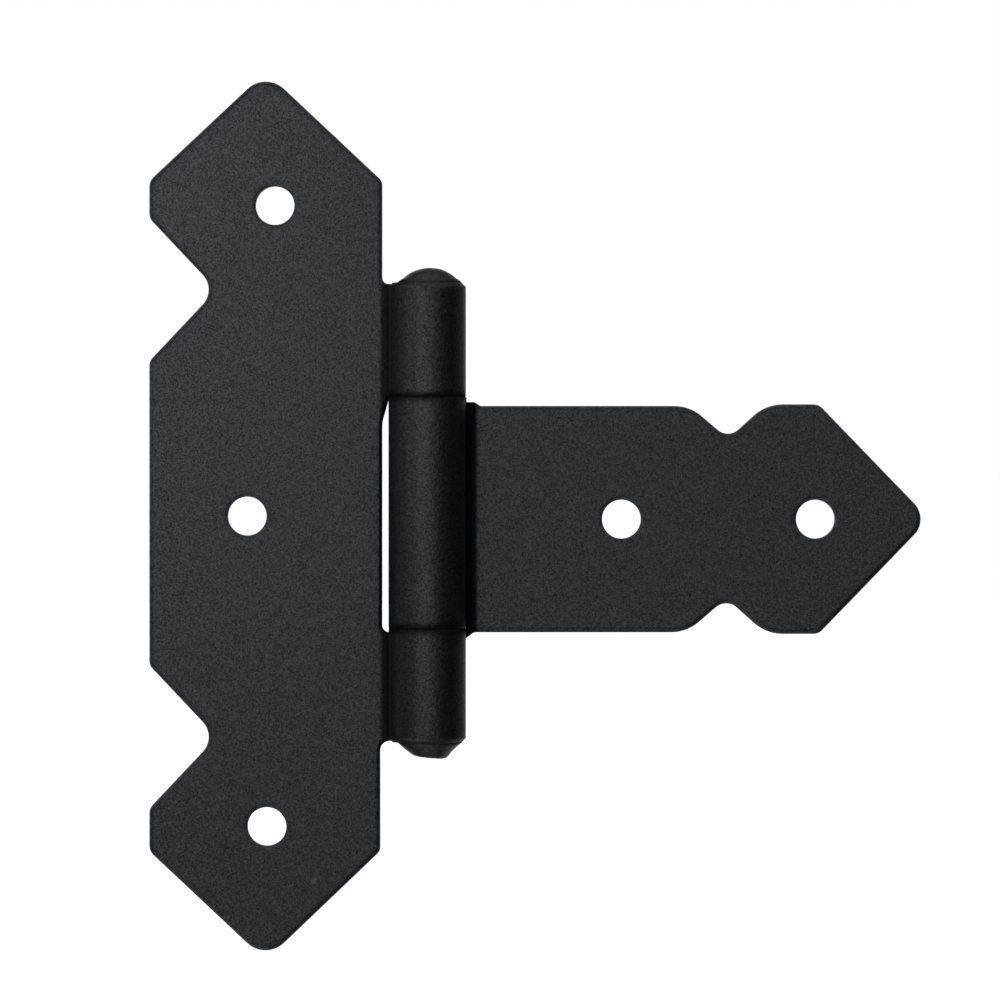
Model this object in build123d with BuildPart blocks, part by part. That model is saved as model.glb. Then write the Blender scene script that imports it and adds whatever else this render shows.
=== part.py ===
from build123d import *
import os
from math import acos, atan, cos, degrees, radians, sqrt, tan

os.makedirs("parts", exist_ok=True)

# Tee hinge, in millimetres: a tall jamb leaf, a long strap leaf and the riveted pin that joins them.
# Both leaves are stamped from sheet, their knuckles are rolled from the same sheet, and they lie
# open in one plane.
# The origin is the middle screw hole of the jamb leaf, on the leaf's back. +Z runs up along the
# pin, the strap points along +X, the backs face +Y and the barrel stands out towards -Y.

# Sheet, screw holes and pin
sheet = 1.85  # thickness of both leaves
hole_diameter = 4.8
front_round = 0.45  # edges rolled over on the side where the punch went in
hole_break = 0.2  # front edges of the screw holes
pin_diameter = 5.7
pin_clearance = 0.05  # running fit in the knuckles, on the radius

# Barrel
outer_knuckle = 13.9  # length of each of the jamb's knuckles
middle_knuckle = 28.28  # length of the strap's knuckle
middle_height = 0.45  # middle of the strap's knuckle above the middle of the jamb leaf
end_play = 0.12  # above the strap's knuckle, and the same below it
end_break = 0.5  # outer edges at the two ends of the barrel
joint_break = 0.2  # outer edges where two knuckles meet
seam_gap = 0.55  # between the end of a roll and the back of its own leaf
jamb_bend_inside = 0.95  # radius inside the bend between leaf and roll
strap_bend_inside = 1.58

# Jamb leaf, seen from the front
pin_offset = 22.23  # from the middle screw hole to the pin's axis
jamb_width = 28.7
jamb_margin = 0.24  # flat sheet between the slot's edge and the bend
jamb_shoulder = 41.3  # height of the spears' shoulders above and below the middle
jamb_spear_angle = 43.2  # slope of the spears' flanks
jamb_tip_radius = 3.3
jamb_outer_radius = 1.7  # shoulders on the outer edge
jamb_inner_radius = 1.1  # shoulders on the pin's side
jamb_notch_depth = 8.3
jamb_notch_angle = 46.7  # slope of the notches' flanks
jamb_notch_radius = 2.65
jamb_mouth_radius = 1.5
upper_notch_inset = 13.4  # from the shoulders back to the notches
lower_notch_inset = 14.1
jamb_hole_inset = 3.03  # from the shoulders back to the end screw holes
upper_hole_offset = 18.8  # from the pin's axis
lower_hole_offset = 19.8
slot_top_slope = 74  # of the slot's edge, where it nears the upper knuckle
slot_top_run = 0.9  # from the slot's edge to where they meet
slot_top_radius = 4.0
slot_corner_radius = 0.3
slot_bottom_radius = 0.86
slot_bottom_slope = 42  # of the slot's bottom, rising to the lower knuckle
slot_bottom_run = 1.75
lower_trim = 0.24  # the leaf is this much narrower below the barrel
upper_root_radius = 0.8  # above the upper knuckle
lower_root_radius = 1.2  # below the lower knuckle

# Strap leaf, seen from the front
strap_drop = 0.38  # its centre line below the middle of the jamb leaf
strap_width = 27.9
strap_head_width = 28.3
strap_shoulder = 48.2  # from the pin's axis to the spear's shoulders
strap_spear_angle = 46
strap_tip_radius = 2.8
strap_shoulder_radius = 1.5
strap_upper_inset = 11.15  # from the shoulders back to the notches
strap_lower_inset = 11.35
strap_upper_depth = 4.25
strap_lower_depth = 4.4
strap_notch_angle = 42
strap_notch_radius = 1.93
strap_mouth_radius = 5.2
strap_hole_inset = 0.4  # from the shoulders back to the outer screw hole
strap_hole_spacing = 23.9
flare_offset = 0.05  # from the barrel to the step below the knuckle's upper end
flare_rise = 0.48  # how far the upper edge rises where the sheet bends
flare_length = 1.0
flare_slope = 35
flare_radius = 0.6
flare_foot_radius = 0.5
relief = 0.1  # between the bent sheet and the jamb's lower knuckle
swell_drop = 0.75  # how far the lower edge swells where the sheet bends
swell_length = 1.0
swell_radius = 0.9

# Hammered ends of the pin
rivet_shift = 0.3  # how far both sit off the pin's axis
head_radius = 3.84
head_height = 1.9
tail_radius = 3.6
tail_end_radius = 2.0
tail_height = 1.97
tail_tilt = 5  # slope of the tail's end
tail_round = 0.5

# Sizes that follow
bore_radius = pin_diameter / 2 + pin_clearance
barrel_radius = bore_radius + sheet
roll_radius = barrel_radius - sheet / 2  # at the middle of the sheet
middle_top = middle_height + middle_knuckle / 2
middle_bottom = middle_height - middle_knuckle / 2
upper_bottom = middle_top + end_play
upper_top = upper_bottom + outer_knuckle
lower_top = middle_bottom - end_play
lower_bottom = lower_top - outer_knuckle
fine = 0.001  # for picking edges by their place

# Fronts are drawn on the plane of the leaves' backs, with x from the pin's axis and y upwards
front = Plane((pin_offset, 0, 0), x_dir=(1, 0, 0), z_dir=(0, -1, 0))


def bend_angle(inside):
    """Degrees that the sheet turns in a bend of this inside radius, on its way into the roll."""
    return 2 * degrees(atan(sqrt(roll_radius / (inside + sheet / 2))))


def bend_start(inside):
    """Distance from the pin's axis to the end of the flat leaf."""
    return 2 * sqrt(roll_radius * (inside + sheet / 2))


def angle_at_axis(inside, reach, from_bend):
    """Angle at the pin's axis between the bend's centre and a point this far from axis and centre."""
    to_bend = roll_radius + inside + sheet / 2
    return degrees(acos((to_bend**2 + reach**2 - from_bend**2) / (2 * to_bend * reach)))


def roll_angle(inside):
    """Turn of the roll, from the bend round to the seam gap behind the leaf."""
    return 360 - angle_at_axis(inside, barrel_radius, inside + sheet + seam_gap)


def cleared_offset(inside, clearance):
    """Distance from the pin's axis to where the bent sheet stands clear of a knuckle beside it."""
    reach = barrel_radius + clearance + sheet / 2
    turn = bend_angle(inside) - 90 + angle_at_axis(inside, reach, inside + sheet / 2)
    return reach * cos(radians(turn))


def bent_sheet(side, length, inside, bottom, top):
    """Flat sheet with the bend at the pin's end of it. side is -1 for the jamb, 1 for the strap."""
    with BuildPart() as blank:
        with BuildSketch(Plane((pin_offset, 0, bottom))):
            with BuildLine():
                flat = Line((side * length, -sheet / 2), (side * bend_start(inside), -sheet / 2))
                JernArc(flat @ 1, flat % 1, inside + sheet / 2, side * bend_angle(inside))
            trace(line_width=sheet)
        extrude(amount=top - bottom)
    return blank.part


def rolled_knuckle(side, inside, bottom, top, bottom_break, top_break):
    """Sheet rolled once round the pin, with the outer edges of its two ends broken."""
    with BuildPart() as knuckle:
        with BuildSketch(Plane((pin_offset, -barrel_radius, bottom))):
            Circle(barrel_radius)
        extrude(amount=top - bottom)
        chamfer(knuckle.edges().sort_by(Axis.Z)[0], bottom_break)
        chamfer(knuckle.edges().sort_by(Axis.Z)[-1], top_break)
        with BuildSketch(Plane((pin_offset, -barrel_radius, bottom))):
            with BuildLine():
                start = 90 + side * (bend_angle(inside) - 180)
                CenterArc((0, 0), roll_radius, start, -side * roll_angle(inside))
            trace(line_width=sheet)
        extrude(amount=top - bottom, mode=Mode.INTERSECT)
    return knuckle.part


def outline(corners):
    """Closed outline from pairs of a sharp corner and the radius that rounds it."""
    points = [point for point, radius in corners]
    radii = [radius for point, radius in corners]
    return FilletPolyline(points, radius=radii, close=True)


def rims(leaf, bend_line):
    """Front edges round a flat leaf, without the line where the sheet starts to bend."""
    level = leaf.edges().filter_by_position(Axis.Y, -sheet - fine, -sheet + fine)
    return level.filter_by(lambda edge: abs(edge.center().X - bend_line) > fine)


# Jamb leaf
inner_edge = -bend_start(jamb_bend_inside) - jamb_margin
outer_edge = inner_edge - jamb_width
jamb_middle = inner_edge - jamb_width / 2
jamb_tip = jamb_shoulder + jamb_width / 2 * tan(radians(jamb_spear_angle))
jamb_mouth = jamb_notch_depth * tan(radians(jamb_notch_angle))  # half of a notch's mouth
jamb_bend_line = pin_offset - bend_start(jamb_bend_inside)
slot_top = upper_bottom - slot_top_run * tan(radians(slot_top_slope))
slot_bottom = lower_top - slot_bottom_run * tan(radians(slot_bottom_slope))
upper_notch = jamb_shoulder - upper_notch_inset
lower_notch = -jamb_shoulder + lower_notch_inset
jamb_hole_height = jamb_shoulder - jamb_hole_inset
jamb_corners = [
    ((jamb_middle, jamb_tip), jamb_tip_radius),
    ((inner_edge, jamb_shoulder), jamb_inner_radius),
    ((inner_edge, upper_top), upper_root_radius),
    ((0, upper_top), 0),
    ((0, upper_bottom), 0),
    ((inner_edge + slot_top_run, upper_bottom), slot_corner_radius),
    ((inner_edge, slot_top), slot_top_radius),
    ((inner_edge, slot_bottom), slot_bottom_radius),
    ((inner_edge + slot_bottom_run, lower_top), 0),
    ((0, lower_top), 0),
    ((0, lower_bottom), 0),
    ((inner_edge - lower_trim, lower_bottom), lower_root_radius),
    ((inner_edge - lower_trim, -jamb_shoulder), jamb_inner_radius),
    ((jamb_middle, -jamb_tip), jamb_tip_radius),
    ((outer_edge, -jamb_shoulder), jamb_outer_radius),
    ((outer_edge, lower_notch - jamb_mouth), jamb_mouth_radius),
    ((outer_edge + jamb_notch_depth, lower_notch), jamb_notch_radius),
    ((outer_edge, lower_notch + jamb_mouth), jamb_mouth_radius),
    ((outer_edge, upper_notch - jamb_mouth), jamb_mouth_radius),
    ((outer_edge + jamb_notch_depth, upper_notch), jamb_notch_radius),
    ((outer_edge, upper_notch + jamb_mouth), jamb_mouth_radius),
    ((outer_edge, jamb_shoulder), jamb_outer_radius),
]

with BuildPart() as jamb_leaf:
    add(bent_sheet(-1, -outer_edge, jamb_bend_inside, -jamb_tip, jamb_tip))
    with BuildSketch(front):
        with BuildLine():
            outline(jamb_corners)
        make_face()
    extrude(amount=2 * barrel_radius, mode=Mode.INTERSECT)
    fillet(rims(jamb_leaf, jamb_bend_line), front_round)
    with BuildSketch(front):
        with Locations(
            (-upper_hole_offset, jamb_hole_height),
            (-pin_offset, 0),
            (-lower_hole_offset, -jamb_hole_height),
        ):
            Circle(hole_diameter / 2)
    extrude(amount=sheet, mode=Mode.SUBTRACT)
    punched = jamb_leaf.edges(Select.LAST).filter_by(GeomType.CIRCLE)
    chamfer(punched.group_by(Axis.Y)[0], hole_break)
    add(rolled_knuckle(-1, jamb_bend_inside, upper_bottom, upper_top, joint_break, end_break))
    add(rolled_knuckle(-1, jamb_bend_inside, lower_bottom, lower_top, end_break, joint_break))
jamb_leaf.part.label = "jamb_leaf"
export_step(jamb_leaf.part, "parts/jamb_leaf.step")

# Strap leaf
body_top = strap_width / 2 - strap_drop
body_bottom = -strap_width / 2 - strap_drop
head_top = strap_head_width / 2 - strap_drop
head_bottom = -strap_head_width / 2 - strap_drop
strap_tip = strap_shoulder + strap_head_width / 2 / tan(radians(strap_spear_angle))
upper_mouth = strap_upper_depth / tan(radians(strap_notch_angle))  # half of a notch's mouth
lower_mouth = strap_lower_depth / tan(radians(strap_notch_angle))
strap_upper_notch = strap_shoulder - strap_upper_inset
strap_lower_notch = strap_shoulder - strap_lower_inset
outer_hole = strap_shoulder - strap_hole_inset
strap_bend_line = pin_offset + bend_start(strap_bend_inside)
flare_start = barrel_radius + flare_offset
flare_end = flare_start + flare_length
flare_foot = flare_end + flare_rise / tan(radians(flare_slope))
swell_start = cleared_offset(strap_bend_inside, relief)
swell_bottom = body_bottom - swell_drop
strap_corners = [
    ((0, middle_top), 0),
    ((flare_start, middle_top), 0),
    ((flare_start, body_top + flare_rise), 0),
    ((flare_end, body_top + flare_rise), flare_radius),
    ((flare_foot, body_top), flare_foot_radius),
    ((strap_upper_notch - upper_mouth, body_top), strap_mouth_radius),
    ((strap_upper_notch, head_top - strap_upper_depth), strap_notch_radius),
    ((strap_upper_notch + upper_mouth, head_top), strap_mouth_radius),
    ((strap_shoulder, head_top), strap_shoulder_radius),
    ((strap_tip, -strap_drop), strap_tip_radius),
    ((strap_shoulder, head_bottom), strap_shoulder_radius),
    ((strap_lower_notch + lower_mouth, head_bottom), strap_mouth_radius),
    ((strap_lower_notch, head_bottom + strap_lower_depth), strap_notch_radius),
    ((strap_lower_notch - lower_mouth, body_bottom), strap_mouth_radius),
    ((swell_start + swell_length, body_bottom), swell_radius),
    ((swell_start, swell_bottom), 0),
    ((swell_start, middle_bottom), 0),
    ((0, middle_bottom), 0),
]

with BuildPart() as strap_leaf:
    add(bent_sheet(1, strap_tip, strap_bend_inside, min(head_bottom, swell_bottom), middle_top))
    with BuildSketch(front):
        with BuildLine():
            outline(strap_corners)
        make_face()
    extrude(amount=2 * barrel_radius, mode=Mode.INTERSECT)
    fillet(rims(strap_leaf, strap_bend_line), front_round)
    with BuildSketch(front):
        with Locations(
            (outer_hole - strap_hole_spacing, -strap_drop),
            (outer_hole, -strap_drop),
        ):
            Circle(hole_diameter / 2)
    extrude(amount=sheet, mode=Mode.SUBTRACT)
    punched = strap_leaf.edges(Select.LAST).filter_by(GeomType.CIRCLE)
    chamfer(punched.group_by(Axis.Y)[0], hole_break)
    add(rolled_knuckle(1, strap_bend_inside, middle_bottom, middle_top, joint_break, joint_break))
strap_leaf.part.label = "strap_leaf"
export_step(strap_leaf.part, "parts/strap_leaf.step")

# Hinge pin: its head is a low dome, its tail a cone with a sloping end
rivet_x = pin_offset + rivet_shift
rivet_axis = Axis((rivet_x, -barrel_radius, 0), (0, 0, 1))
dome_radius = (head_radius**2 + head_height**2) / (2 * head_height)
tail_end = lower_bottom - tail_height

with BuildPart() as hinge_pin:
    with BuildSketch(Plane((pin_offset, -barrel_radius, lower_bottom))):
        Circle(pin_diameter / 2)
    extrude(amount=upper_top - lower_bottom)
    with BuildSketch(Plane((rivet_x, -barrel_radius, upper_top), x_dir=(1, 0, 0), z_dir=(0, -1, 0))):
        with BuildLine():
            Polyline((0, head_height), (0, 0), (head_radius, 0))
            RadiusArc((head_radius, 0), (0, head_height), -dome_radius)
        make_face()
    revolve(axis=rivet_axis)
    with BuildSketch(Plane((rivet_x, -barrel_radius, lower_bottom), x_dir=(1, 0, 0), z_dir=(0, -1, 0))):
        with BuildLine():
            cone = Line((tail_radius, 0), (tail_end_radius, -tail_height))
            Polyline(cone @ 1, cone @ 1 + cone % 1 * tail_round, (0, -tail_height), (0, 0), cone @ 0)
        make_face()
    revolve(axis=rivet_axis)
    split(bisect_by=Plane((rivet_x, -barrel_radius, tail_end)).rotated((0, tail_tilt, 0)), keep=Keep.TOP)
    fillet(hinge_pin.edges().sort_by(Axis.Z)[0], tail_round)
hinge_pin.part.label = "hinge_pin"
export_step(hinge_pin.part, "parts/hinge_pin.step")
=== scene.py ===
import math

import bmesh
import bpy
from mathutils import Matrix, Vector


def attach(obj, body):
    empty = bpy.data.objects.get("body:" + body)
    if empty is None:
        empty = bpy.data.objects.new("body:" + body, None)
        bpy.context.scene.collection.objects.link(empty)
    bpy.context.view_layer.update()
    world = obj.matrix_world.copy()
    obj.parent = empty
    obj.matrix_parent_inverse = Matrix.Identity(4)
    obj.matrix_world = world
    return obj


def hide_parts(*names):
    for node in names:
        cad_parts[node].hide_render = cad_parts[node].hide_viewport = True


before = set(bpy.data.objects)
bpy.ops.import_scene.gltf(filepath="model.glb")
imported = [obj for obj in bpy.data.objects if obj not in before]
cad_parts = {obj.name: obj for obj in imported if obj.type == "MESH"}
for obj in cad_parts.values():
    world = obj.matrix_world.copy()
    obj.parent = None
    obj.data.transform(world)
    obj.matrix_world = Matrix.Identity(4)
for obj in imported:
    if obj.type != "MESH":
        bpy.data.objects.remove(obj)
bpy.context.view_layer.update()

# A small tee hinge in satin black coat: two leaves pressed from sheet, their knuckles rolled round
# a pin with hammered ends. Everything is in metres, in the frame of the solids.

MM = 0.001

# Sizes shared with the solids
sheet = 1.85 * MM
barrel_radius = 4.75 * MM
pin_axis = Vector((22.23 * MM, -barrel_radius, 0))
pin_radius = 2.85 * MM
upper_end = 28.61 * MM  # top of the upper knuckle
lower_end = -27.71 * MM  # bottom of the lower knuckle
upper_joint = 14.65 * MM  # middles of the joints between the knuckles
lower_joint = -13.75 * MM
joint_play = 0.12 * MM
joint_break = 0.2 * MM  # of the knuckles' outer edges there
rivet_shift = 0.3 * MM  # how far both hammered ends sit off the pin's axis
head_radius = 3.84 * MM
head_height = 1.9 * MM
tail_end_radius = 2.0 * MM
tail_height = 1.97 * MM
tail_slope = 0.087  # of the tail's sloping end

# Sizes of the finish
edge_ease = 0.1 * MM
joint_fill = 0.35 * joint_play  # thickness of the coat on each face of a joint
filled_break_radius = 0.995 * barrel_radius  # how far out it fills the joints' broken edges
foot_radius = 4.0 * MM  # where the coat joins the pin's ends to the knuckles
dome_share = 0.86  # of the head's radius; the rest is its softened rim
dome_rows = 20
pebble_size = 0.42 * MM
grain_size = 0.2 * MM
hue_size = 0.6 * MM
patch_size = 5 * MM
coat_relief = 0.06 * MM
pale_fleck = Vector((8.25 * MM, -sheet, -44.95 * MM))  # a small mark low on the jamb leaf

# Painted shade on the barrel, in the joints between the knuckles and where the pin's ends meet
# them: height, reach to each side and strength
painted_shade_rings = (
    (upper_joint, 0.95 * MM, 0.9),
    (lower_joint, 1.25 * MM, 0.9),
    (upper_end, 0.5 * MM, 0.3),
    (lower_end, 0.5 * MM, 0.45),
)
ring_fade = (barrel_radius, 1.1 * barrel_radius)  # away from the barrel
# Where the painted shade in the bends beside the barrel begins and ends, from the pin's axis
bend_start = (0.96 * barrel_radius, 1.02 * barrel_radius)
jamb_bend_fade = (5.4 * MM, 6.1 * MM)
strap_bend_fade = (5.8 * MM, 6.4 * MM)
bend_back_fade = (barrel_radius - 1.4 * MM, barrel_radius - 0.8 * MM)
bend_end_fade = (0.99 * upper_end, 1.01 * upper_end)
# How strong the painted shade in the bends is
painted_bend_shade_strength = 0.85

# Where a leaf is flat: this far from the pin's axis, or above or below the barrel
flat_from = 6.4 * MM
beyond_barrel = 1.03 * upper_end

# Colours of the coat
pit_colour = (0.0016, 0.0019, 0.0023, 1)
cool_colour = (0.0022, 0.0054, 0.0080, 1)
warm_colour = (0.0062, 0.0050, 0.0052, 1)
brown_colour = (0.0078, 0.0052, 0.0050, 1)
# Painted highlight: the pale colour the edges take for the light they catch
painted_highlight_colour = (0.060, 0.057, 0.055, 1)
fleck_colour = (0.056, 0.058, 0.040, 1)
# Painted shade: a near-black coat put in the barrel's joints and the bends beside it
painted_shade_colour = (0.0008, 0.0009, 0.0010, 1)


# ---- Node trees written as expressions


class Value:
    """A socket in an expression. Arithmetic on it adds Math nodes to its tree."""

    def __init__(self, nodes, socket):
        self.nodes = nodes
        self.socket = socket

    def __add__(self, other):
        return self.nodes.math("ADD", self, other)

    def __radd__(self, other):
        return self.nodes.math("ADD", other, self)

    def __sub__(self, other):
        return self.nodes.math("SUBTRACT", self, other)

    def __rsub__(self, other):
        return self.nodes.math("SUBTRACT", other, self)

    def __mul__(self, other):
        return self.nodes.math("MULTIPLY", self, other)

    def __rmul__(self, other):
        return self.nodes.math("MULTIPLY", other, self)

    def __truediv__(self, other):
        return self.nodes.math("DIVIDE", self, other)

    def __rtruediv__(self, other):
        return self.nodes.math("DIVIDE", other, self)

    def __neg__(self):
        return 0 - self

    def __abs__(self):
        return self.nodes.math("ABSOLUTE", self)


class Nodes:
    """A node tree and the one call that adds a node to it."""

    def __init__(self, tree):
        self.tree = tree
        tree.nodes.clear()

    def add(self, kind, settings=None, inputs=None, out=0):
        """A node of this kind, its settings first, then its sockets' values or links."""
        node = self.tree.nodes.new(kind)
        for name, setting in (settings or {}).items():
            setattr(node, name, setting)
        for name, value in (inputs or {}).items():
            if isinstance(value, Value):
                self.tree.links.new(value.socket, node.inputs[name])
            else:
                node.inputs[name].default_value = value
        return Value(self, node.outputs[out]) if node.outputs else None

    def math(self, operation, *operands):
        return self.add("ShaderNodeMath", {"operation": operation}, dict(enumerate(operands)))

    def vector_math(self, operation, *operands, out="Vector"):
        settings = {"operation": operation}
        return self.add("ShaderNodeVectorMath", settings, dict(enumerate(operands)), out)

    def ramp(self, value, low, high):
        """0 below low, 1 above high, and smooth between them."""
        return self.add(
            "ShaderNodeMapRange",
            {"interpolation_type": "SMOOTHSTEP"},
            {"Value": value, "From Min": low, "From Max": high},
        )

    def fade(self, value, low, high):
        """1 below low, 0 above high, and smooth between them."""
        return 1 - self.ramp(value, low, high)

    def blend(self, factor, first, second):
        """Mix of two colours."""
        return self.add(
            "ShaderNodeMix",
            {"data_type": "RGBA"},
            {"Factor": factor, "A": first, "B": second},
            out=2,
        )

    def vector(self, x, y, z):
        return self.add("ShaderNodeCombineXYZ", None, {"X": x, "Y": y, "Z": z})

    def parts(self, vector):
        """The x, y and z of a vector."""
        x = self.add("ShaderNodeSeparateXYZ", None, {0: vector})
        return [Value(self, socket) for socket in x.socket.node.outputs]

    def noise(self, where, size, detail, roughness):
        """Noise whose lumps are about this large."""
        return self.add(
            "ShaderNodeTexNoise",
            None,
            {"Vector": where, "Scale": 1 / size, "Detail": detail, "Roughness": roughness},
        )


def new_material(name):
    material = bpy.data.materials.new(name)
    material.use_nodes = True
    return material, Nodes(material.node_tree)


# ---- Coat


def painted_rim_highlight(nodes, eased_normal, highlight_patches):
    """Painted highlight: how far the edges take a pale colour that stands in for the light they
    catch, most on the leaves' rims, less on every other edge.
    """
    true_normal = nodes.add("ShaderNodeNewGeometry", out="Normal")
    along = nodes.vector_math("DOT_PRODUCT", eased_normal, true_normal, out="Value")
    on_edge = nodes.ramp(1 - along, 0.002, 0.06)
    rim = nodes.add("ShaderNodeAttribute", {"attribute_name": "rim"}, out="Fac")
    return on_edge * highlight_patches * 0.3 + rim * (0.4 + highlight_patches * 0.6)


def painted_shade_mask(nodes, where):
    """Painted shade: near 1 in the barrel's joints, where the pin's ends meet the knuckles, and in
    the bends beside it.
    """
    from_axis = nodes.vector_math("SUBTRACT", where, pin_axis)
    across, back, height = nodes.parts(from_axis)
    radial = nodes.vector_math("MULTIPLY", from_axis, (1, 1, 0))
    radius = nodes.vector_math("LENGTH", radial, out="Value")
    rings = 0
    for middle, reach, strength in painted_shade_rings:
        rings = rings + nodes.fade(abs(height - middle), 0, reach) * strength
    rings = rings * nodes.fade(radius, *ring_fade)
    bends = nodes.ramp(abs(across), *bend_start)
    bends = bends * nodes.fade(across, *strap_bend_fade) * nodes.fade(-across, *jamb_bend_fade)
    bends = bends * nodes.fade(back, *bend_back_fade)
    bends = bends * nodes.fade(abs(height), *bend_end_fade)
    return nodes.math("MAXIMUM", rings, bends * painted_bend_shade_strength)


def black_coat(name):
    """Satin black coat: sprayed pebbles and specks in faint patches, a painted highlight on its
    edges, and painted shade in the barrel's joints and the bends beside it.
    """
    material, nodes = new_material(name)
    where = nodes.add("ShaderNodeTexCoord", out="Object")
    pebbles = nodes.noise(where, pebble_size, 2.0, 0.55)
    grain = nodes.noise(where, grain_size, 2.0, 0.7)
    patches = nodes.noise(where, patch_size, 3.0, 0.6)
    hues = nodes.noise(where, hue_size, 2.0, 0.6)
    specks = nodes.ramp(grain * 0.75 + pebbles * 0.25, 0.30, 0.70)
    # Patches where the painted highlight on the edges is stronger
    highlight_patches = nodes.ramp(pebbles + patches * 0.5, 0.45, 0.95)
    eased_normal = nodes.add("ShaderNodeBevel", {"samples": 8}, {"Radius": 0.8 * MM})

    tint = nodes.blend(nodes.ramp(patches, 0.35, 0.65), cool_colour, warm_colour)
    tint = nodes.blend(nodes.ramp(hues, 0.4, 0.66), tint, brown_colour)
    colour = nodes.blend(specks, pit_colour, tint)
    # Painted highlight: a pale colour on the rims and edges stands in for the light they catch
    colour = nodes.blend(painted_rim_highlight(nodes, eased_normal, highlight_patches), colour, painted_highlight_colour)
    from_fleck = nodes.vector_math("DISTANCE", where, pale_fleck, out="Value")
    fleck = nodes.fade(from_fleck + pebbles * 0.3 * MM, 0.36 * MM, 0.64 * MM)
    colour = nodes.blend(fleck, colour, fleck_colour)

    roughness = 0.38 + pebbles * 0.06 + patches * 0.04 - specks * 0.06
    relief = {
        "Height": pebbles * 0.75 + grain * 0.25,
        "Distance": coat_relief,
        "Normal": eased_normal,
    }
    normal = nodes.add("ShaderNodeBump", None, relief)
    shown = {"Base Color": colour, "Roughness": roughness, "Normal": normal}
    pits = {"IOR": 1.5, "Specular IOR Level": 0.30}
    gloss = {"IOR": 1.53, "Specular IOR Level": 1.0}
    # A dark, rough, barely glossy coat that paints shade in
    shade_paint_settings = {"Base Color": painted_shade_colour, "Roughness": 0.7, "Specular IOR Level": 0.08}
    matt = nodes.add("ShaderNodeBsdfPrincipled", None, shown | pits)
    glossy = nodes.add("ShaderNodeBsdfPrincipled", None, shown | gloss)
    painted_shade_coat = nodes.add("ShaderNodeBsdfPrincipled", None, shade_paint_settings)
    coat = nodes.add("ShaderNodeMixShader", None, {0: specks, 1: matt, 2: glossy})
    # Painted shade: mixes that coat in over the barrel's joints, the knuckles' ends and the bends
    # beside it
    finish = nodes.add("ShaderNodeMixShader", None, {0: painted_shade_mask(nodes, where), 1: coat, 2: painted_shade_coat})
    nodes.add("ShaderNodeOutputMaterial", None, {"Surface": finish})
    return material


# ---- Leaves


def fill_joints(shape):
    """Moves the knuckles' ends into the joints by the coat's thickness. Returns their vertices."""
    moved = set()
    for vertex in shape.verts:
        radial = (vertex.co - pin_axis) * Vector((1, 1, 0))
        if radial.length > 1.01 * barrel_radius:
            continue
        for joint in (upper_joint, lower_joint):
            if abs(vertex.co.z - joint) < 0.6 * joint_play:
                vertex.co.z += math.copysign(joint_fill, joint - vertex.co.z)
                if abs(radial.length - (barrel_radius - joint_break)) < 0.01 * MM:
                    vertex.co += radial * (filled_break_radius / radial.length - 1)
                moved.add(vertex)
    return moved


def merged_copy(node):
    """A node's mesh, its triangles joined, its joints filled and its sharp edges weighted."""
    shape = bmesh.new()
    shape.from_mesh(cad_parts[node].data)
    bmesh.ops.remove_doubles(shape, verts=shape.verts, dist=1e-6)
    flat = math.radians(0.3)
    bmesh.ops.dissolve_limit(shape, angle_limit=flat, verts=shape.verts, edges=shape.edges)
    at_joint = fill_joints(shape)
    shape.normal_update()
    sharp = math.radians(32)
    weight = shape.edges.layers.float.new("bevel_weight_edge")
    for edge in shape.edges:
        if edge.is_manifold and edge.calc_face_angle() > sharp:
            edge[weight] = 0.25 if at_joint.issuperset(edge.verts) else 1
    mesh = bpy.data.meshes.new(node + "_copy")
    shape.to_mesh(mesh)
    shape.free()
    return mesh


def mark_rims(mesh):
    """Attribute rim, the mask of the painted rim highlight: how far a flat leaf's rolled rim turns,
    and a little on its sides and back.
    """
    rim = mesh.attributes.new("rim", "FLOAT", "CORNER")
    for face in mesh.polygons:
        aside = abs(face.center.x - pin_axis.x) > flat_from
        beyond = abs(face.center.z) > beyond_barrel
        frontness = -face.normal.y
        turned = min(1, 2.2 * (1 - frontness)) if frontness > 0.15 else 0.3
        value = turned if aside or beyond else 0
        for corner in face.loop_indices:
            rim.data[corner].value = value


def settle(piece):
    """Applies the piece's modifiers."""
    evaluated = piece.evaluated_get(bpy.context.evaluated_depsgraph_get())
    mesh = bpy.data.meshes.new_from_object(evaluated)
    piece.modifiers.clear()
    piece.data = mesh


def pressed_leaf(node, name, body, material):
    """A leaf with its sharp edges eased and its normals following the sheet."""
    mesh = merged_copy(node)
    mesh.materials.append(material)
    mesh.shade_smooth()
    piece = bpy.data.objects.new(name, mesh)
    bpy.context.scene.collection.objects.link(piece)
    ease = piece.modifiers.new("eased_edges", "BEVEL")
    ease.width = edge_ease
    ease.segments = 2
    ease.limit_method = "WEIGHT"
    level = piece.modifiers.new("level_flats", "WEIGHTED_NORMAL")
    level.keep_sharp = False
    settle(piece)
    mark_rims(piece.data)
    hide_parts(node)
    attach(piece, body)


# ---- Pin


def rounded_run(start, corner, end, steps):
    """Points of a soft corner: from start by way of corner to end."""
    run = []
    for step in range(steps + 1):
        t = step / steps
        shares = ((1 - t) ** 2, 2 * t * (1 - t), t**2)
        run.append(
            tuple(
                shares[0] * a + shares[1] * b + shares[2] * c
                for a, b, c in zip(start, corner, end)
            )
        )
    return run


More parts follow.
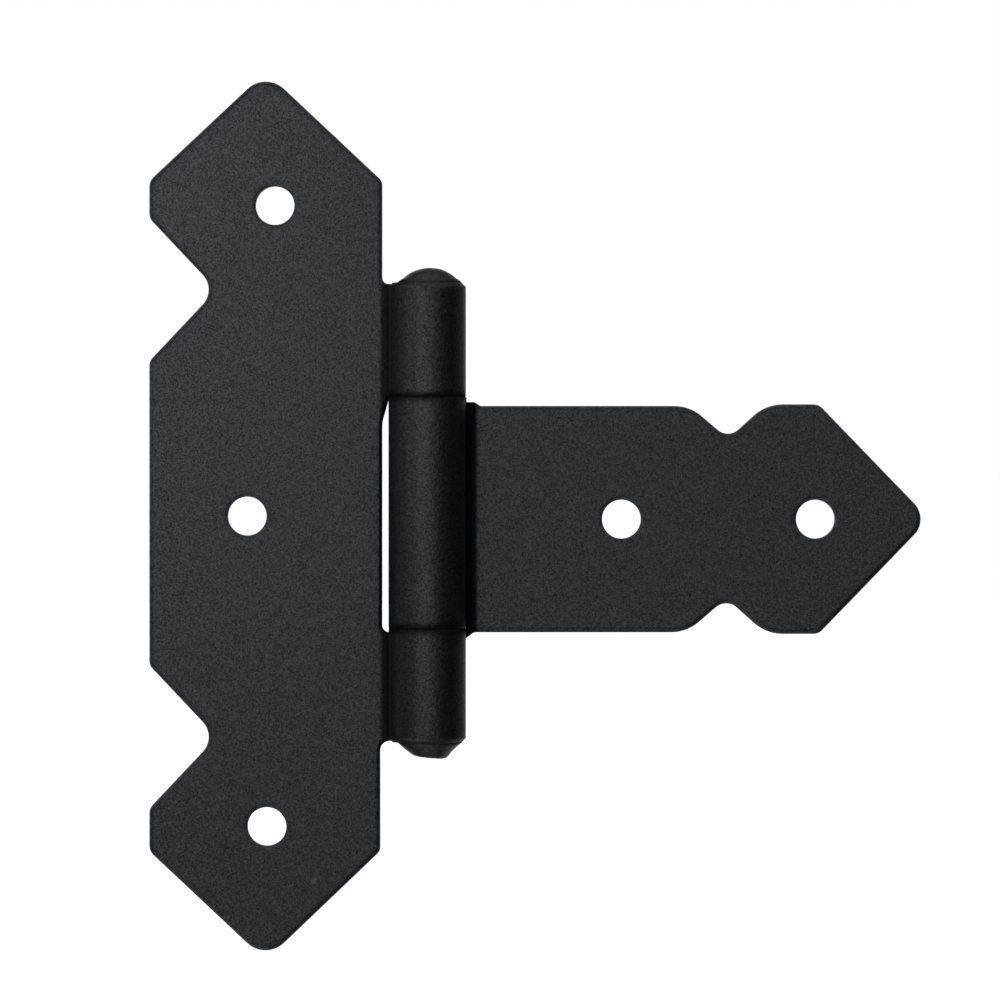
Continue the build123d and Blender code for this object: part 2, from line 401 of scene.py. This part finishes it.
def pin_profile():
    """Radius and height from the top of the head down to the middle of the tail."""
    dome_radius = (head_radius**2 + head_height**2) / (2 * head_height)
    centre = upper_end + head_height - dome_radius
    reach = math.asin(dome_share * head_radius / dome_radius)
    turns = [reach * step / dome_rows for step in range(dome_rows + 1)]
    dome = [
        (dome_radius * math.sin(turn), centre + dome_radius * math.cos(turn)) for turn in turns
    ]
    brow = dome[-1]
    rim = (foot_radius, upper_end - 0.03 * MM)
    bulge = (0.5 * (brow[0] + rim[0]) + 0.06 * MM, 0.5 * (brow[1] + rim[1]) + 0.1 * MM)
    head = dome + rounded_run(brow, bulge, rim, 8)[1:]

    neck = pin_radius - rivet_shift  # stays inside the shaft where the ends lean aside
    neck_length = 0.15 * MM
    shaft = [
        (neck, rim[1]),
        (pin_radius, upper_end - neck_length),
        (pin_radius, lower_end + neck_length),
        (neck, lower_end),
    ]

    tail_end = lower_end - tail_height
    flank = (tail_end_radius + 0.35 * MM, tail_end + 0.4 * MM)
    hollow = (foot_radius - 0.5 * MM, lower_end - 0.45 * MM)
    foot = rounded_run((foot_radius, lower_end), hollow, flank, 10)
    end = rounded_run(flank, (tail_end_radius, tail_end), (0.5 * tail_end_radius, tail_end), 12)
    flat = [(share * tail_end_radius, tail_end) for share in (0.35, 0.2, 0)]
    return head + shaft + foot + end[1:] + flat


def hammering_tree():
    """Turns a profile round the pin, then leans, slopes and dents its two ends."""
    tree = bpy.data.node_groups.new("hammered_pin", "GeometryNodeTree")
    tree.is_modifier = True
    nodes = Nodes(tree)
    tree.interface.new_socket("Geometry", in_out="OUTPUT", socket_type="NodeSocketGeometry")
    for name, kind in (
        ("Profile", "Geometry"),
        ("Around", "Int"),
        ("Upper End", "Float"),
        ("Lower End", "Float"),
        ("Shift", "Float"),
        ("End Slope", "Float"),
        ("Dent Depth", "Float"),
        ("Dent Size", "Float"),
        ("Seed", "Float"),
        ("Finish", "Material"),
    ):
        tree.interface.new_socket(name, in_out="INPUT", socket_type="NodeSocket" + kind)

    def given(name):
        return nodes.add("NodeGroupInput", out=name)

    rows = nodes.add("GeometryNodeAttributeDomainSize", None, {"Geometry": given("Profile")})
    grid = nodes.add(
        "GeometryNodeMeshGrid",
        None,
        {"Size X": 1.0, "Size Y": 1.0, "Vertices X": given("Around") + 1, "Vertices Y": rows},
    )
    place = nodes.add("GeometryNodeInputPosition")
    across, down, _ = nodes.parts(place)
    row = (0.5 - down) * (rows - 1) + 0.01  # clear of rounding down to the row before
    point = nodes.add(
        "GeometryNodeSampleIndex",
        {"data_type": "FLOAT_VECTOR", "clamp": True},
        {"Geometry": given("Profile"), "Value": place, "Index": row},
    )
    radius, _, height = nodes.parts(point)
    turn = (across + 0.5) * (2 * math.pi)
    above = height - given("Upper End")
    below = given("Lower End") - height
    lean_run = (-0.1 * MM, 0.0)
    lean = nodes.ramp(above, *lean_run) + nodes.ramp(below, *lean_run)
    x = radius * nodes.math("COSINE", turn)
    y = radius * nodes.math("SINE", turn)
    sunk = nodes.ramp(below, 0.9 * MM, 1.9 * MM) * given("End Slope") * x
    turned = nodes.vector(x + lean * given("Shift"), y, height - sunk)
    shaped = nodes.add("GeometryNodeSetPosition", None, {"Geometry": grid, "Position": turned})
    closed = nodes.add(
        "GeometryNodeMergeByDistance", None, {"Geometry": shaped, "Distance": 0.002 * MM}
    )

    _, _, level = nodes.parts(place)
    dent_run = (0.1 * MM, 0.6 * MM)
    ends = nodes.ramp(level - given("Upper End"), *dent_run)
    ends = ends + nodes.ramp(given("Lower End") - level, *dent_run)
    dents = nodes.add(
        "ShaderNodeTexVoronoi",
        {"voronoi_dimensions": "4D", "feature": "SMOOTH_F1"},
        {"Vector": place, "W": given("Seed"), "Scale": 1 / given("Dent Size"), "Smoothness": 0.6},
        out="Distance",
    )
    outward = nodes.add("GeometryNodeInputNormal")
    inward = nodes.add(
        "ShaderNodeVectorMath",
        {"operation": "SCALE"},
        {0: outward, "Scale": -(dents * ends * given("Dent Depth"))},
    )
    dented = nodes.add("GeometryNodeSetPosition", None, {"Geometry": closed, "Offset": inward})
    smooth = nodes.add("GeometryNodeSetShadeSmooth", None, {"Geometry": dented})
    real = nodes.add("GeometryNodeRealizeInstances", None, {"Geometry": smooth})
    finished = nodes.add(
        "GeometryNodeSetMaterial", None, {"Geometry": real, "Material": given("Finish")}
    )
    nodes.add("NodeGroupOutput", None, {"Geometry": finished})
    return tree


def hammered_pin(material):
    """The pin with its domed head and hammered tail, standing in the knuckles."""
    points = [(radius, 0, height) for radius, height in pin_profile()]
    mesh = bpy.data.meshes.new("pin_profile")
    mesh.from_pydata(points, [(n, n + 1) for n in range(len(points) - 1)], [])
    piece = bpy.data.objects.new("pin_hammered", mesh)
    bpy.context.scene.collection.objects.link(piece)
    tree = hammering_tree()
    modifier = piece.modifiers.new("hammering", "NODES")
    modifier.node_group = tree
    values = {
        "Around": 96,
        "Upper End": upper_end,
        "Lower End": lower_end,
        "Shift": rivet_shift,
        "End Slope": tail_slope,
        "Dent Depth": 0.1 * MM,
        "Dent Size": 1.5 * MM,
        "Seed": 4.0,
        "Finish": material,
    }
    for socket in tree.interface.items_tree:
        if socket.name in values:
            modifier[socket.identifier] = values[socket.name]
    settle(piece)
    shape = bmesh.new()
    shape.from_mesh(piece.data)
    bmesh.ops.translate(shape, verts=shape.verts, vec=pin_axis)
    bmesh.ops.recalc_face_normals(shape, faces=shape.faces)
    shape.to_mesh(piece.data)
    shape.free()
    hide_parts("hinge_pin")
    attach(piece, "jamb_leaf")


coat = black_coat("satin_black_coat")
pressed_leaf("jamb_leaf", "jamb_leaf_pressed", "jamb_leaf", coat)
pressed_leaf("strap_leaf", "strap_leaf_pressed", "strap_leaf", coat)
hammered_pin(coat)


# ---- Floor, light and camera

floor_level = -66 * MM
floor_reach = 3.0
near_floor_glow = 0.76
side_glow = 0.14  # of the room beside and behind the hinge, as the coat mirrors it
rear_glow = 0.5  # of the room straight behind it
ambient = 0.22
lamp_aim = Vector((10 * MM, 0, 0))
lamp_colour = (0.93, 0.985, 1.08)
camera_distance = 0.7
picture_width = 123.17 * MM  # as much as the camera sees at the leaves' front
picture_centre = (31.16 * MM, 1.98 * MM)


def pale_floor():
    """Plain floor, white to the camera, that still shows what shades it."""
    material, nodes = new_material("pale_floor")
    camera_ray = nodes.add("ShaderNodeLightPath", out="Is Camera Ray")
    place = nodes.add("ShaderNodeNewGeometry", out="Position")
    away = nodes.vector_math("LENGTH", place, out="Value")
    whitened = near_floor_glow + nodes.ramp(away, 0.1, 0.9) * (1 - near_floor_glow)
    glow = nodes.add("ShaderNodeEmission", None, {"Strength": camera_ray * whitened})
    paint = nodes.add("ShaderNodeBsdfDiffuse", None, {"Color": (0.8, 0.8, 0.79, 1)})
    lit = nodes.add("ShaderNodeAddShader", None, {0: glow, 1: paint})
    nodes.add("ShaderNodeOutputMaterial", None, {"Surface": lit})
    shape = bmesh.new()
    bmesh.ops.create_grid(shape, x_segments=1, y_segments=1, size=floor_reach)
    bmesh.ops.translate(shape, verts=shape.verts, vec=(0, 0, floor_level))
    mesh = bpy.data.meshes.new("floor")
    shape.to_mesh(mesh)
    shape.free()
    mesh.materials.append(material)
    floor = bpy.data.objects.new("floor", mesh)
    floor.visible_glossy = False
    floor.visible_shadow = False
    bpy.context.scene.collection.objects.link(floor)


def pale_world():
    """White to the camera, and to the coat pale behind and dark in front, where the lamps are."""
    world = bpy.data.worlds.new("pale_room")
    world.use_nodes = True
    nodes = Nodes(world.node_tree)
    _, back, _ = nodes.parts(nodes.add("ShaderNodeTexCoord", out="Generated"))
    behind = nodes.ramp(back, 0.0, 0.5) * side_glow + nodes.ramp(back, 0.75, 1.0) * rear_glow
    camera_ray = nodes.add("ShaderNodeLightPath", out="Is Camera Ray")
    glossy_ray = nodes.add("ShaderNodeLightPath", out="Is Glossy Ray")
    other_ray = 1 - camera_ray - glossy_ray
    strength = camera_ray + glossy_ray * behind + other_ray * ambient
    white = {"Color": (1, 1, 1, 1), "Strength": strength}
    background = nodes.add("ShaderNodeBackground", None, white)
    nodes.add("ShaderNodeOutputWorld", None, {"Surface": background})
    bpy.context.scene.world = world


def softbox(name, azimuth, elevation, distance, width, radiance):
    """A square lamp facing the barrel, azimuth degrees to the left of the front and this bright."""
    turn, rise = math.radians(azimuth), math.radians(elevation)
    level = math.cos(rise)
    away = Vector((-math.sin(turn) * level, -math.cos(turn) * level, math.sin(rise)))
    data = bpy.data.lights.new(name, "AREA")
    data.size = width
    data.energy = radiance * math.pi * width**2
    data.color = lamp_colour
    lamp = bpy.data.objects.new(name, data)
    lamp.location = lamp_aim + away * distance
    lamp.rotation_euler = (-away).to_track_quat("-Z", "Y").to_euler()
    lamp.visible_camera = False
    bpy.context.scene.collection.objects.link(lamp)


def photo_camera():
    """Square to the leaves, in front of them."""
    data = bpy.data.cameras.new("camera")
    data.sensor_width = 36
    data.lens = data.sensor_width * camera_distance / picture_width
    data.clip_start = 0.01
    camera = bpy.data.objects.new("camera", data)
    camera.location = (picture_centre[0], -camera_distance - sheet, picture_centre[1])
    camera.rotation_euler = (math.radians(90), 0, 0)
    bpy.context.scene.collection.objects.link(camera)
    bpy.context.scene.camera = camera


pale_floor()
pale_world()
for name, azimuth, elevation, distance, width, radiance in (
    ("front_lamp", -5, 0, 0.50, 0.25, 0.82),
    ("right_lamp", -25, 25, 0.50, 0.25, 0.83),
    ("low_lamp", 15, -25, 0.50, 0.25, 0.55),
    ("lowest_lamp", 50, -55, 0.50, 0.35, 0.72),
    ("top_lamp", 0, 85, 0.50, 0.40, 0.70),
    ("side_lamp", 90, 0, 0.50, 0.25, 0.25),
    ("rear_left_lamp", 120, 0, 0.50, 0.25, 1.60),
    ("near_left_lamp", 20, 0, 0.22, 0.08, 0.76),
    ("nearest_left_lamp", 15, 10, 0.14, 0.05, 0.57),
    ("nearest_upper_lamp", 15, 30, 0.14, 0.05, 1.36),
    ("nearest_side_lamp", 50, 10, 0.14, 0.05, 1.15),
    ("upper_left_lamp", 69, 43, 0.50, 0.40, 0.50),
    ("upper_right_lamp", -69, 43, 0.50, 0.40, 0.30),
    ("under_lamp", 0, -75, 0.50, 0.40, 0.40),
    ("back_left_lamp", 150, 10, 0.60, 0.50, 0.40),
    ("back_right_lamp", 215, -30, 0.60, 0.35, 0.30),
):
    softbox(name, azimuth, elevation, distance, width, radiance)
photo_camera()
bpy.context.scene.view_settings.view_transform = "Standard"
